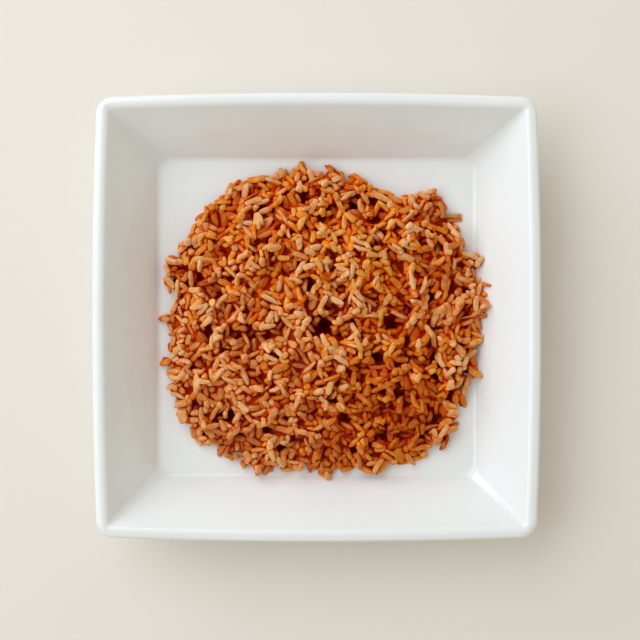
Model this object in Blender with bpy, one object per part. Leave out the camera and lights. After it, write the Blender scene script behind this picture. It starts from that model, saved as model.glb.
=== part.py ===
"""Fried rice heaped in a deep square porcelain dish.

Two solids: the dish, and the heap of rice. The heap's skin has a bump for every grain
that would lie on it, as long and wide as a cooked grain. Metres, +Z up. The origin is on
the table, under the middle of the dish. The named sizes are in millimetres, and MM turns
them into metres.
"""

import math
import random

import bmesh
import bpy
from mathutils import Vector, geometry

MM = 0.001

# The dish
RIM_SIDE = 230.0  # outside, between the middles of two opposite sides
RIM_HEIGHT = 34.5
RIM_BOW = 2.0  # how far the middle of a rim's side stands out past its ends
LIP_WIDTH = 5.6  # seen from above
LIP_ROUND = 2.0  # radius of the lip's outer edge
LIP_INNER_ROUND = 1.6
FLOOR_SIDE = 167.0  # from crease to crease
FLOOR_TOP = 6.5
FLOOR_FILLET = 6.0
UNDERSIDE = 2.5  # height of the recess inside the foot
BASE_FILLET = 3.0  # where the outside of the wall turns under
BASE_BOW = 0.4
OUTER_SLOPE = math.radians(45.0)  # of the outside of the wall, from level
FOOT_OUTER = 80.0  # half sides of the foot's ring
FOOT_INNER = 75.0
FOOT_TAPER = 0.8
FOOT_ROUND = 0.5
FLOOR_CORNER = 5.5  # radii of the dish's corners seen from above
LIP_INNER_CORNER = 3.5
LIP_CORNER = 9.0
BASE_CORNER = 7.0
FOOT_CORNER = 6.0
FOOT_INNER_CORNER = 5.0
ARC_STEP = math.radians(24.0)  # greatest turn between two edges of a fillet
PLAIN_ROUND = 1.0  # a fillet up to this size is a single bevel
CORNER_STEPS = 4  # edges round each corner of the dish, seen from above
SIDE_STEPS = 4  # edges along each side

# The heap, round the middle of the dish. Radii of its foot every 15 degrees from +X,
# counter-clockwise, as it lies on the dish.
FOOT_RADII = (
    90.0, 91.0, 87.5, 88.5, 78.0, 79.0, 79.0, 78.0, 83.0, 84.0, 83.0, 83.5,
    79.5, 83.0, 87.5, 89.5, 87.0, 83.0, 84.0, 85.0, 88.5, 94.5, 89.0, 86.5,
)  # fmt: skip
CROWN = 17.5  # height of the smooth heap over its foot, in the middle
FOOT_DEPTH = 2.0  # height of the smooth heap at its foot, over the dish
DOME_POWER = 2.5
DOME_FALL = 0.75
SWELLS = 7  # broad rises and hollows over the heap
SWELL_HEIGHT = 1.6
SWELL_WIDTH = 15.0
SWELL_REACH = (25.0, 55.0)  # from the middle of the heap
DIP_PLACE = (4.0, -1.0)  # the hollow near the middle
DIP_DEPTH = 3.4
DIP_WIDTH = 8.5

# The grains
GRAIN_LENGTHS = ((7.6, 9.4, 9000), (5.6, 7.2, 7000))  # least, most, places tried
GRAIN_WIDTH = 3.1
BACK_WIDTH = 2.0  # of the flat along a grain's back
TIP_REACH = 0.8  # of the back's pointed ends past the ends of the middle line
BACK_INSET = 0.3  # from the outline to the nearest point of a back
BACK_LIFT = 2.8  # least height of a back over the dish
GRAIN_RELIEF = 1.9  # from the creases between grains to their backs
GRAIN_SPACING = 2.9  # least distance between the middle lines of two grains
GRAIN_SLANT = 0.5  # how much one end stands over the middle, and the other under it
GRAIN_STEP = 0.6  # how much a whole grain stands over the others, or under them
GRAIN_INSET = 1.9  # from the foot to the nearest middle line of a grain inside the heap
EDGE_GRAINS = 84  # grains laid first along the foot, which give it its uneven outline
EDGE_INSET = (1.5, 4.5)  # from the foot to the middle of such a grain
EDGE_OVERHANG = 0.7  # how far its middle line may reach over the foot
ALONG_STEPS = 5  # parts of a middle line, where the outline is measured
JITTER = 0.3  # of the even places along the foot, as a part of their distance

# The creases between grains, and the outline
CREASE_LIFT = 1.2  # least height of a crease over the dish
CREASE_SPACING = 1.1  # creases that come closer than this meet in one point
CREASE_INSET = 0.8  # from the outline to the nearest crease point
OUTLINE_POINTS = 280
OUTLINE_INSET = 1.3  # deepest notch between two grains of the outline
RIM_LIFT = 1.1  # of the outline, over the dish
CLEARANCE = 0.35  # between the rice and the dish
FLAT_SHARE = 0.86  # part of the radius over which the underside is level
MERGE = 1e-5
SEED = 11

COLLECTION = "fried_rice_dish"
PORCELAIN = ("porcelain", (0.86, 0.86, 0.85), 0.08)  # name, colour, roughness
COOKED_RICE = ("cooked_rice", (0.46, 0.13, 0.02), 0.5)


# ---------------------------------------------------------------- the dish


def wall_slope():
    """Angle of the inside of the dish's wall, from level."""
    run = (RIM_SIDE - FLOOR_SIDE) / 2 - LIP_WIDTH
    return math.atan2(RIM_HEIGHT - FLOOR_TOP, run)


def dish_corners():
    """The dish's section, from the floor up the inside, over the lip and down to the foot.
    Each corner is (half side, height, fillet, radius seen from above, bow of the sides)."""
    half_rim = RIM_SIDE / 2
    lip = half_rim + LIP_ROUND * (1 / math.tan(OUTER_SLOPE / 2) - 1)
    base = lip - (RIM_HEIGHT - UNDERSIDE) / math.tan(OUTER_SLOPE)
    return [
        (FLOOR_SIDE / 2, FLOOR_TOP, FLOOR_FILLET, FLOOR_CORNER, 0.0),
        (half_rim - LIP_WIDTH, RIM_HEIGHT, LIP_INNER_ROUND, LIP_INNER_CORNER, RIM_BOW),
        (lip, RIM_HEIGHT, LIP_ROUND, LIP_CORNER, RIM_BOW),
        (base, UNDERSIDE, BASE_FILLET, BASE_CORNER, BASE_BOW),
        (FOOT_OUTER, UNDERSIDE, 0.0, FOOT_CORNER, 0.0),
        (FOOT_OUTER - FOOT_TAPER, 0.0, FOOT_ROUND, FOOT_CORNER, 0.0),
        (FOOT_INNER + FOOT_TAPER, 0.0, FOOT_ROUND, FOOT_INNER_CORNER, 0.0),
        (FOOT_INNER, UNDERSIDE, 0.0, FOOT_INNER_CORNER, 0.0),
    ]


def fillet_arc(before, corner, after, radius):
    """Points of the arc that rounds the corner of a section between two straight runs."""
    towards, away = (before - corner).normalized(), (after - corner).normalized()
    half_angle = towards.angle(away) / 2
    steps = 1
    if radius > PLAIN_ROUND:
        steps += round((math.pi - 2 * half_angle) / ARC_STEP)
    centre = corner + (towards + away).normalized() * radius / math.sin(half_angle)
    reach = radius / math.tan(half_angle)
    start, end = corner + towards * reach - centre, corner + away * reach - centre
    return [centre + start.slerp(end, i / steps) * radius for i in range(steps + 1)]


def dish_section():
    """The section with its corners rounded, from the floor's edge to the foot's inner edge."""
    corners = dish_corners()
    points = [Vector((half, height)) for half, height, *_ in corners]
    points = [Vector((0, FLOOR_TOP)), *points, Vector((0, UNDERSIDE))]
    section = []
    for i, (_, _, fillet, plan_radius, bow) in enumerate(corners, start=1):
        rounded = [points[i]]
        if fillet:
            rounded = fillet_arc(points[i - 1], points[i], points[i + 1], fillet)
        section += [(p.x, p.y, plan_radius, bow) for p in rounded]
    return section


def bowed_square(half, radius, bow):
    """Points of a square with round corners and slightly bulging sides, counter-clockwise."""
    middle = half - bow - radius  # of a corner's arc
    quarter = []
    for i in range(CORNER_STEPS):
        angle = math.pi / 2 * i / CORNER_STEPS
        quarter.append((middle + radius * math.cos(angle), middle + radius * math.sin(angle)))
    for i in range(SIDE_STEPS):
        along_side = 1 - 2 * i / SIDE_STEPS
        quarter.append((middle * along_side, half - bow * along_side**2))
    turns = ((1, 0), (0, 1), (-1, 0), (0, -1))
    return [(x * c - y * s, x * s + y * c) for c, s in turns for x, y in quarter]


def build_dish():
    """A loft through one bowed square for each point of the section, closed by two flat caps."""
    shape = bmesh.new()
    rings = []
    for half, height, radius, bow in dish_section():
        plan = bowed_square(half, radius, bow)
        rings.append([shape.verts.new((x * MM, y * MM, height * MM)) for x, y in plan])
    count = len(rings[0])
    for lower, upper in zip(rings, rings[1:]):
        for i in range(count):
            j = (i + 1) % count
            shape.faces.new((lower[i], lower[j], upper[j], upper[i]))
    shape.faces.new(rings[0])
    shape.faces.new(reversed(rings[-1]))
    finish(shape, "square_dish", PORCELAIN)


def dish_height(x, y):
    """Height of the dish's inside at a point away from its corners."""
    slope = wall_slope()
    out = max(abs(x), abs(y)) - FLOOR_SIDE / 2
    reach = FLOOR_FILLET * math.tan(slope / 2)
    if out < -reach:
        return FLOOR_TOP
    if out > reach * math.cos(slope):
        return FLOOR_TOP + out * math.tan(slope)
    return FLOOR_TOP + FLOOR_FILLET - math.sqrt(FLOOR_FILLET**2 - (out + reach) ** 2)


# ---------------------------------------------------------------- the smooth heap


def foot_radius(angle):
    """Radius of the heap's foot in a direction, on a smooth curve through FOOT_RADII."""
    place = (angle / math.tau) % 1.0 * len(FOOT_RADII)
    first = int(place)
    t = place - first
    a, b, c, d = (FOOT_RADII[(first + k) % len(FOOT_RADII)] for k in (-1, 0, 1, 2))
    return b + 0.5 * t * (c - a + t * (2 * a - 5 * b + 4 * c - d + t * (3 * (b - c) + d - a)))


def room_to_foot(x, y):
    """Distance from a point out to the heap's foot, negative outside it."""
    return foot_radius(math.atan2(y, x)) - math.hypot(x, y)


def swells(rng):
    """Centres and heights of the heap's broad rises and hollows."""
    found = []
    for i in range(SWELLS):
        angle = math.tau * (i + rng.uniform(-JITTER, JITTER)) / SWELLS
        away = rng.uniform(*SWELL_REACH)
        height = SWELL_HEIGHT * (1 if i % 2 else -1)
        found.append((away * math.cos(angle), away * math.sin(angle), height))
    return found


def bell(x, y, centre, width):
    return math.exp(-((x - centre[0]) ** 2 + (y - centre[1]) ** 2) / (2 * width**2))


def heap_height(x, y, rises):
    """Height over the table of the smooth heap, halfway between backs and creases."""
    share = min(math.hypot(x, y) / foot_radius(math.atan2(y, x)), 1.0)
    dome = (1 - share**DOME_POWER) ** DOME_FALL
    height = FOOT_DEPTH + CROWN * dome
    height += dome * sum(z * bell(x, y, (u, v), SWELL_WIDTH) for u, v, z in rises)
    height -= DIP_DEPTH * bell(x, y, DIP_PLACE, DIP_WIDTH)
    return max(FLOOR_TOP + height, dish_height(x, y) + FOOT_DEPTH)


# ---------------------------------------------------------------- the grains


class Nearby:
    """Points in square bins, to find one that lies closer than a given distance."""

    def __init__(self, reach):
        self.reach = reach
        self.bins = {}

    def bin_of(self, point):
        return int(point[0] // self.reach), int(point[1] // self.reach)

    def add(self, points):
        for p in points:
            self.bins.setdefault(self.bin_of(p), []).append(p)

    def find(self, point):
        """A point within reach, or None."""
        u, v = self.bin_of(point)
        near = (self.bins.get((u + i, v + j), ()) for i in (-1, 0, 1) for j in (-1, 0, 1))
        for p in (p for points in near for p in points):
            if math.dist(p, point) < self.reach:
                return p
        return None


def middle_line(x, y, azimuth, length):
    """The ends and middle of the line inside a grain, seen from above."""
    reach = (length - GRAIN_WIDTH) / 2
    u, v = math.cos(azimuth) * reach, math.sin(azimuth) * reach
    return [(x - u, y - v), (x, y), (x + u, y + v)]


def along(line):
    """Places all along a grain's middle line."""
    (x0, y0), _, (x1, y1) = line
    steps = [k / ALONG_STEPS for k in range(ALONG_STEPS + 1)]
    return [(x0 + (x1 - x0) * t, y0 + (y1 - y0) * t) for t in steps]


def lay_grains(rng):
    """Middle lines of the grains: first those along the foot, then the rest at random,
    the long ones before the short, each kept only where no other lies too close."""
    taken = Nearby(GRAIN_SPACING)
    grains = []

    def lay(x, y, least, most, inset):
        line = middle_line(x, y, rng.uniform(0, math.pi), rng.uniform(least, most))
        in_heap = all(room_to_foot(*p) > inset for p in line)
        if in_heap and not any(taken.find(p) for p in line):
            taken.add(line)
            grains.append(line)

    longest = GRAIN_LENGTHS[0][:2]
    for i in range(EDGE_GRAINS):
        angle = math.tau * (i + rng.uniform(-JITTER, JITTER)) / EDGE_GRAINS
        away = foot_radius(angle) - rng.uniform(*EDGE_INSET)
        lay(away * math.cos(angle), away * math.sin(angle), *longest, -EDGE_OVERHANG)
    widest = max(FOOT_RADII)
    for least, most, places in GRAIN_LENGTHS:
        for _ in range(places):
            x, y = rng.uniform(-widest, widest), rng.uniform(-widest, widest)
            lay(x, y, least, most, GRAIN_INSET)
    return grains


def grain_back(line, slant):
    """The flat along a grain's back, a long hexagon: its points seen from above, and how
    far each stands over the middle of the back."""
    (x0, y0), (x, y), (x1, y1) = line
    reach = math.hypot(x1 - x0, y1 - y0) / 2
    u, v = (x1 - x) / reach, (y1 - y) / reach
    half, tip = BACK_WIDTH / 2, reach + TIP_REACH
    side = [(tip, 0), (reach, half), (-reach, half)]
    corners = side + [(-a, -b) for a, b in side]
    return [(x + u * a - v * b, y + v * a + u * b, slant * a / tip) for a, b in corners]


# ---------------------------------------------------------------- the outline and creases


def outline(grains):
    """The heap's foot seen from above, as radii: the outermost reach of the grains."""
    width = GRAIN_WIDTH / 2
    places = [p for line in grains for p in along(line)]
    radii = []
    for i in range(OUTLINE_POINTS):
        angle = math.tau * i / OUTLINE_POINTS
        u, v = math.cos(angle), math.sin(angle)
        radius = foot_radius(angle) - OUTLINE_INSET
        for x, y in places:
            off = abs(x * v - y * u)
            if off < width and x * u + y * v > 0:
                radius = max(radius, x * u + y * v + math.sqrt(width**2 - off**2))
        radii.append(radius)
    return radii


def outline_point(radii, i):
    angle = math.tau * i / OUTLINE_POINTS
    radius = radii[i % OUTLINE_POINTS]
    return radius * math.cos(angle), radius * math.sin(angle)


def inside(point, radii, inset):
    """True for a point within the outline by at least the inset, measured to the middle."""
    place = (math.atan2(point[1], point[0]) / math.tau) % 1.0 * OUTLINE_POINTS
    (x0, y0), (x1, y1) = (outline_point(radii, int(place) + k) for k in (0, 1))
    away = math.hypot(*point)
    u, v = point[0] / away, point[1] / away
    chord = (x0 * (y1 - y0) - y0 * (x1 - x0)) / (u * (y1 - y0) - v * (x1 - x0))
    return away < chord - inset


def circumcentre(a, b, c):
    """The point as far from each of three others, or None where they lie in a line."""
    bx, by, cx, cy = b[0] - a[0], b[1] - a[1], c[0] - a[0], c[1] - a[1]
    turn = 2 * (bx * cy - by * cx)
    if abs(turn) < MERGE:
        return None
    bb, cc = bx * bx + by * by, cx * cx + cy * cy
    return a[0] + (cy * bb - by * cc) / turn, a[1] + (bx * cc - cx * bb) / turn


def creases(grains, radii):
    """The net of creases midway between neighbouring grains, as pairs of points."""
    sites = [Vector(p) for line in grains for p in line]
    per_grain = len(grains[0])
    triangles = geometry.delaunay_2d_cdt(sites, [], [], 0, MERGE)[2]
    known = Nearby(CREASE_SPACING)
    beside = {}
    for triangle in triangles:
        point = circumcentre(*(sites[i] for i in triangle))
        if point is None or not inside(point, radii, CREASE_INSET):
            continue
        meeting = known.find(point)
        if meeting is None:
            meeting = point
            known.add([point])
        for i, j in zip(triangle, triangle[1:] + triangle[:1]):
            if i // per_grain != j // per_grain:
                beside.setdefault((min(i, j), max(i, j)), []).append(meeting)
    return [tuple(ends) for ends in beside.values() if len(set(ends)) == 2]


def crease_height(x, y, rises):
    depth = heap_height(x, y, rises) - GRAIN_RELIEF / 2
    return max(depth, dish_height(x, y) + CREASE_LIFT)


# ---------------------------------------------------------------- the rice


def add_backs(skin, grains, radii, rises, rng):
    """Puts every grain's back on the skin, as far as it lies inside the outline."""
    points, heights, edges = skin
    for line in grains:
        slant = rng.uniform(-GRAIN_SLANT, GRAIN_SLANT)
        middle = heap_height(*line[1], rises) + GRAIN_RELIEF / 2
        middle += rng.uniform(-GRAIN_STEP, GRAIN_STEP)
        kept = []
        for x, y, over in grain_back(line, slant):
            if inside((x, y), radii, BACK_INSET):
                kept.append(len(points))
                points.append((x, y))
                heights.append(max(middle + over, dish_height(x, y) + BACK_LIFT))
        if len(kept) > 2:
            edges += zip(kept, kept[1:] + kept[:1])


def add_creases(skin, grains, radii, rises):
    """Puts the creases between the grains on the skin."""
    points, heights, edges = skin
    numbers = {}
    for ends in creases(grains, radii):
        for p in ends:
            if p not in numbers:
                numbers[p] = len(points)
                points.append(p)
                heights.append(crease_height(*p, rises))
        edges.append(tuple(numbers[p] for p in ends))


def build_rice():
    """The skin over all its points, walled down to the dish and closed underneath."""
    rng = random.Random(SEED)
    rises = swells(rng)
    grains = lay_grains(rng)
    radii = outline(grains)
    points = [outline_point(radii, i) for i in range(OUTLINE_POINTS)]
    heights = [dish_height(x, y) + RIM_LIFT for x, y in points]
    edges = [(i, (i + 1) % OUTLINE_POINTS) for i in range(OUTLINE_POINTS)]
    add_backs((points, heights, edges), grains, radii, rises, rng)
    add_creases((points, heights, edges), grains, radii, rises)

    made = geometry.delaunay_2d_cdt([Vector(p) for p in points], edges, [], 1, MERGE)
    flat, _, triangles, sources = made[:4]
    shape = bmesh.new()
    for p, source in zip(flat, sources):
        height = heights[source[0]] if source else crease_height(p.x, p.y, rises)
        shape.verts.new((p.x * MM, p.y * MM, height * MM))
    shape.verts.ensure_lookup_table()
    for triangle in triangles:
        shape.faces.new([shape.verts[i] for i in triangle])
    close_below(shape)
    finish(shape, "fried_rice", COOKED_RICE)


def close_below(shape):
    """Walls an open skin down to the dish, then in over it, and caps the level middle."""
    rim = [e for e in shape.edges if e.is_boundary]
    for share in (1.0, FLAT_SHARE):
        pulled = bmesh.ops.extrude_edge_only(shape, edges=rim)["geom"]
        for vert in (v for v in pulled if isinstance(v, bmesh.types.BMVert)):
            x, y = vert.co.x * share / MM, vert.co.y * share / MM
            vert.co = Vector((x, y, dish_height(x, y) + CLEARANCE)) * MM
        rim = [e for e in pulled if isinstance(e, bmesh.types.BMEdge)]
    bmesh.ops.contextual_create(shape, geom=rim)


# ---------------------------------------------------------------- the scene


def finish(shape, name, look):
    """Turns a closed bmesh into a named object with its own material, in the collection."""
    bmesh.ops.recalc_face_normals(shape, faces=shape.faces)
    mesh = bpy.data.meshes.new(name)
    shape.to_mesh(mesh)
    shape.free()
    material_name, colour, roughness = look
    material = bpy.data.materials.new(material_name)
    material.use_nodes = True
    shader = material.node_tree.nodes["Principled BSDF"]
    shader.inputs["Base Color"].default_value = (*colour, 1.0)
    shader.inputs["Roughness"].default_value = roughness
    shader.inputs["Metallic"].default_value = 0.0
    mesh.materials.append(material)
    bpy.data.collections[COLLECTION].objects.link(bpy.data.objects.new(name, mesh))


def main():
    for old in list(bpy.data.objects):
        bpy.data.objects.remove(old)
    collection = bpy.data.collections.new(COLLECTION)
    bpy.context.scene.collection.children.link(collection)
    build_dish()
    build_rice()


main()
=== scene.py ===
"""Fried rice heaped in a deep square porcelain dish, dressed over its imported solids.

The dish is lofted ring by ring from its section. The heap is about 2,300 rice grains, laid
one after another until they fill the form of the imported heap. A core of soft rice fills the
gaps between them. Sizes are in millimetres until they reach a mesh, and MM turns them into
metres.
"""

import math
from collections import namedtuple

import bpy
import numpy as np
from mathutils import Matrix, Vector
from mathutils.bvhtree import BVHTree


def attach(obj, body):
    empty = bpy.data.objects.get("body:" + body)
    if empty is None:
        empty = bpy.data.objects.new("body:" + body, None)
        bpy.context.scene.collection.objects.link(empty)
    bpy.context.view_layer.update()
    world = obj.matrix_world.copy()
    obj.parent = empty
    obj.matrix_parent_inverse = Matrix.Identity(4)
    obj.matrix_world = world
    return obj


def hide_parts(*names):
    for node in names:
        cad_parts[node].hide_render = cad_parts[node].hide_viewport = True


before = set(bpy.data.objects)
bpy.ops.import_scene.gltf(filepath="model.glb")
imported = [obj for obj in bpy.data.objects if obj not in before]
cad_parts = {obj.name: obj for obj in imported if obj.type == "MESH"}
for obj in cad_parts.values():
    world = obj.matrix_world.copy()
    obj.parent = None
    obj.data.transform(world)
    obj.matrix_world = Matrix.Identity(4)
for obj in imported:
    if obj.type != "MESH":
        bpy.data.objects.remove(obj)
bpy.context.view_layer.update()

MM = 0.001
BODY = "root"
SEED = 5
# Greatest angles between two faces, in degrees, that still shade as one
DISH_SMOOTH = 35
CORE_SMOOTH = 60
GRAIN_SMOOTH = 48

# The dish
RIM_SIDE = 230.0  # outside, between the middles of two opposite sides
RIM_HEIGHT = 34.5
RIM_BOW = 2.0  # how far the middle of a rim's side stands out past its ends
LIP_WIDTH = 5.6
LIP_ROUND = 2.0
LIP_INNER_ROUND = 4.0
LIP_CROWN = 3.4  # from the rim's edge in to where its top starts to fall off
LIP_FALL = 0.9
LIP_CROWN_ROUND = 5.0
FLOOR_SIDE = 167.0
FLOOR_TOP = 6.5
FLOOR_FILLET = 4.2
UNDERSIDE = 2.5
BASE_FILLET = 3.0
BASE_BOW = 0.4
OUTER_SLOPE = math.radians(45.0)
FOOT_OUTER = 80.0
FOOT_INNER = 75.0
FOOT_TAPER = 0.8
FOOT_ROUND = 0.5
FLOOR_CORNER = 7.0  # radii of the dish's corners seen from above
LIP_INNER_CORNER = 2.2
LIP_CORNER = 9.0
BASE_CORNER = 7.0
FOOT_CORNER = 6.0
FOOT_INNER_CORNER = 5.0
ARC_STEP = math.radians(7.0)  # greatest turn between two edges of a fillet
CORNER_STEPS = 10
SIDE_STEPS = 12
LONG_RUN = 5.0  # a straight run longer than this gets a ring near each end, to stay flat
RUN_END = 0.8

# The heap's form, on a square grid of cells
CELL = 0.5
REACH = 97.0  # half side of the grid
BLUR = 3.0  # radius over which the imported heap's bumps are smoothed out
LEAST_SHARE = 1e-6  # keeps a division clear of zero
CLUMPS = ((11.0, 1.4), (4.5, 1.8))  # width and height of the heap's random unevenness
PIT_WIDTH = 3.4
PIT_RARENESS = 0.5  # a pit is where random values pass this
PIT_FULL = 1.2  # and it gets no deeper where they pass it by more than this
PIT_DEPTH = 3.8  # for each 1 that they pass it by
CLUMP_WIDTH = 3.5  # of the clumps that the loose top lies in
# The few deep hollows: x, y, radius and depth
HOLLOWS = (
    (3.8, -4.6, 3.6, 11.0), (31.0, -20.5, 4.0, 6.0), (42.0, -40.0, 4.0, 5.0),
    (16.5, -28.0, 3.4, 4.0), (13.0, -52.0, 3.6, 5.0), (38.0, -4.0, 3.2, 4.0),
    (31.0, 51.0, 3.6, 5.0), (2.0, 51.0, 3.4, 4.0), (-25.0, -9.0, 3.6, 4.0),
    (-45.0, -52.0, 3.6, 5.0), (-56.0, -7.0, 3.6, 4.0),
)
SHAFT = 0.45  # the part of a hollow's radius that no grain reaches into
# Where the heap's edge runs out, or in where less than 0: direction in degrees, half width, reach
SPURS = (
    (4.0, 4.0, 2.5), (16.0, 4.0, 4.0), (28.0, 7.0, -3.5), (37.0, 5.0, 4.0), (45.0, 5.0, 2.5),
    (63.0, 16.0, -2.5), (90.0, 4.0, -2.0), (96.0, 3.0, 2.5), (130.0, 4.0, -3.5),
    (145.0, 4.0, -3.0), (172.0, 7.0, -5.0), (226.0, 5.0, 2.5), (237.0, 6.0, 2.0),
    (280.0, 10.0, -2.0), (291.0, 4.0, 3.0), (320.0, 4.0, 4.0), (352.0, 7.0, -2.5),
)
RAGGED = (3.0, 1.3)  # width and reach of the edge's random bays
EDGE_BAND = 9.0  # how far in from its edge the heap is more even
EDGE_UNEVENNESS = 0.25  # the share of its unevenness that it has at the edge

# The sizes of grains
LENGTH = (8.4, 1.5)  # mean and spread
LENGTH_RANGE = (5.4, 11.4)
BROKEN_LENGTH = (3.4, 5.8)
BROKEN_SHARE = 0.15
WIDTH = (2.95, 0.55)
THICKNESS = (2.7, 0.28)
LUMP_SHARE = 0.045  # of grains that have stuck together in one lump
LUMP_SIZES = ((8.0, 13.0), (4.4, 6.6), (2.8, 3.8))
LAID_BLUNTNESS = 4  # power of a grain's outline from above while it is laid

# How grains are laid
STATIONS = np.linspace(-0.94, 0.94, 11)  # along a grain, where it may touch the ground
ACROSS = np.linspace(-0.8, 0.8, 5)
CHOICES = 3  # places tried for each grain
JITTER = 1.8  # how far they are from a cell's middle, at most
STEEPEST = math.tan(math.radians(38.0))
EDGE = 1.5  # how far inside the heap's edge a grain starts
OVERHANG = 3.3  # how far a grain's end may reach over the edge
HIGHEST = 27.5  # of the heights that layers aim for
COMBED_WIDTH = 3.5  # over which neighbouring grains tend to lie the same way
STRAY = 0.75  # spread of their directions about the common one, in radians
ROUND_LEAST = 60  # cells tried in one round, unless one in ROUND_SHARE of the open ones is more
ROUND_SHARE = 60
MOST_GRAINS = 6000
BELOW_ALL = -1.0  # a height under everything
Layer = namedtuple("Layer", (
    "lift",  # how far its aim stands over the heap's form
    "clumped",  # how much higher that is where the top is clumped
    "need",  # how deep a gap must be to take a grain
    "proud",  # how far a grain's middle line may rise over the aim
    "sink",  # how far a soft grain presses into what it lies on
    "sink_spread",
    "lean_spread",
    "level_liking",  # how much a level rest counts
))
BED = Layer(-1.7, 0.0, 1.3, 1.4, 0.8, 0.3, 0.2, 0.6)
LOOSE = Layer(-0.4, 2.8, 1.3, 1.8, 0.65, 0.35, 0.1, 0.6)

# Soft rice under the grains. It fills the gaps between those of the bed, and the narrow ones of
# the loose top: half the width of the gaps that it fills, how far it lies under the grains'
# tops, and the radius over which it is smoothed
BED_FILL = (1.6, 2.0, 0.8)
TOP_FILL = (0.8, 1.3, 0.5)
CORE_DEPTH = 5.6  # from the heap's form down to the ground that the first grains are laid on
CORE_INSET = 3.8  # nearer the heap's edge than this, that ground is the dish
CORE_EDGE = 2.8  # the core ends at least this far inside the heap's edge
CORE_RIM = 0.6  # and where it is still this thick
CORE_LIFT = 0.05  # of its lowest ring over the dish
CORE_RINGS = 110
CORE_POINTS = 480  # of each ring
CORE_SLOPE = 1.7  # the steepest rise of its surface for each millimetre
SETTLING_STEPS = 8  # how often the whole grid is gone over to level what is steeper

# How sheltered a place is
SKY_WAYS = 12
SKY_STEPS = (0.8, 1.4, 2.2, 3.4, 5.0, 7.5)  # how far away the rice that hides the sky may be
DEEPEST = 2.5  # the greatest shelter
# how much more sheltered a grain's sides count than its back, for painted shade on them
SIDE_SHELTER = 0.22
LYING = 0.1  # where rice lies in the dish, it is at least this high
TOP_BLUR = 1.6  # radius over which the heap's top is smoothed, to tell how deep a grain lies
LEAST_COVER = 0.05  # keeps a division clear of zero

# The model grains, with half sizes of about 1, and how each grain differs from its model
MODEL_COUNT = 14
GRAIN_STATIONS = (-1.0, -0.9, -0.55, 0.0, 0.55, 0.9, 1.0)
SECTION_CORNERS = 4
BEVEL = (0.2, 0.4)  # half the angle between the two edges of each blunt corner of the section
SKEW = 0.2  # greatest turn of one corner about the grain's line, in radians
TAPER = 0.28  # how much wider one end may be than the middle
BLUNTNESS = (2.7, 6.0)  # power of the grain's outline, blunter where higher
FLAT_END = (0.34, 0.7)  # width of a grain's end facet, as a share of its greatest
SQUARENESS = (2.3, 3.8)  # power of its section, which is round at 2
LUMPS = 0.11  # how uneven each ring of it is, as a share of its width
ROLL = 0.6  # greatest turn about its own line, in radians
BEND = (0.0, 0.05)  # how far a grain's middle stands out sideways, as a share of its length
Look = namedtuple("Look", "model roll flip bend arch tone")

# The kinds of grain
KIND_PATCH = 2.8  # width of the patches in which one kind is commoner
KIND_WEIGHTS = (0.6, -0.6, 0.5, 0.4)  # of patches, clumps, chance and depth in a grain's draw; by the clumps it paints light, with paler grains on the raised top, and by depth it paints shade
PALE_CORNER = (79.0, -29.0)  # a handful of nearly white grains by the heap's right edge
PALE_REACH = 13.0
PALE_SHARES = (0.4, 0.012)  # of such grains there, and elsewhere
# Where more of the grains are pale and rosy, or fewer where less than 0: x, y, radius, change
ROSY = (
    (-45.0, -58.0, 38.0, 0.9), (-58.0, 4.0, 28.0, 0.5), (-5.0, -4.0, 22.0, 0.7),
    (76.0, 6.0, 18.0, 0.5), (74.0, -58.0, 16.0, 0.5), (70.0, 60.0, 18.0, 0.7),
    (40.0, -44.0, 34.0, -0.55), (12.0, 44.0, 30.0, -0.25),
)
PEACH_SHARE = 0.3  # before those changes
PEACH_RANGE = (0.02, 1.0)
ORANGE_SHARE = 0.28  # in the dish's middle
ORANGE_RISE = 0.002  # of that share, for each millimetre towards the far right corner
ORANGE_LOSS = 0.4  # of that share, where grains are rosy
ORANGE_RANGE = (0.03, 0.6)
SHADED_RUSSET_DEPTHS = (1.5, 3.0)  # painted shade: where some grains that lie deep take the deep red kind, and where all do
SHADED_RUSSET_SHARE = 0.4

# How light or how deep and red each grain is
TONE = 0.5
TONE_PATCHES = (4.0, 0.4)  # width and height of its random patches
CLUMP_PAINTED_LIGHT = 0.3  # painted light: how much lighter the raised clumps are
TONE_STRAY = 0.2
DEEPER_PAINTED_SHADE = 0.15  # painted shade: loss of tone for each millimetre that a grain lies under its neighbours
DEEPER_MOST = 3.0
# Where the heap is lighter, or darker and redder where less than 0: x, y, radius, change
TONES = (
    (-54.0, 46.0, 12.0, -0.35), (40.0, 32.0, 14.0, 0.6), (20.0, 59.0, 11.0, -0.4),
    (62.0, 62.0, 13.0, -0.1), (-32.0, 14.0, 13.0, -0.2), (22.0, 26.0, 24.0, 0.8),
    (38.0, -38.0, 20.0, -1.0), (7.0, -48.0, 9.0, 0.25), (42.0, -62.0, 16.0, -0.8),
    (8.0, -66.0, 18.0, -1.2), (10.0, 34.0, 15.0, 0.7), (70.0, 46.0, 14.0, -0.6),
    (-44.0, -64.0, 22.0, -0.8), (-70.0, -20.0, 20.0, 0.25),
)

# The rice's colours before painted light and shade change them
UNSHADED = {
    "amber": (0.94, 0.440, 0.085, 1.0),
    "orange": (0.94, 0.395, 0.045, 1.0),
    "peach": (0.94, 0.505, 0.205, 1.0),
    "shaded_russet": (0.92, 0.35, 0.028, 1.0),
    "pale": (0.95, 0.63, 0.33, 1.0),
}
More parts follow.
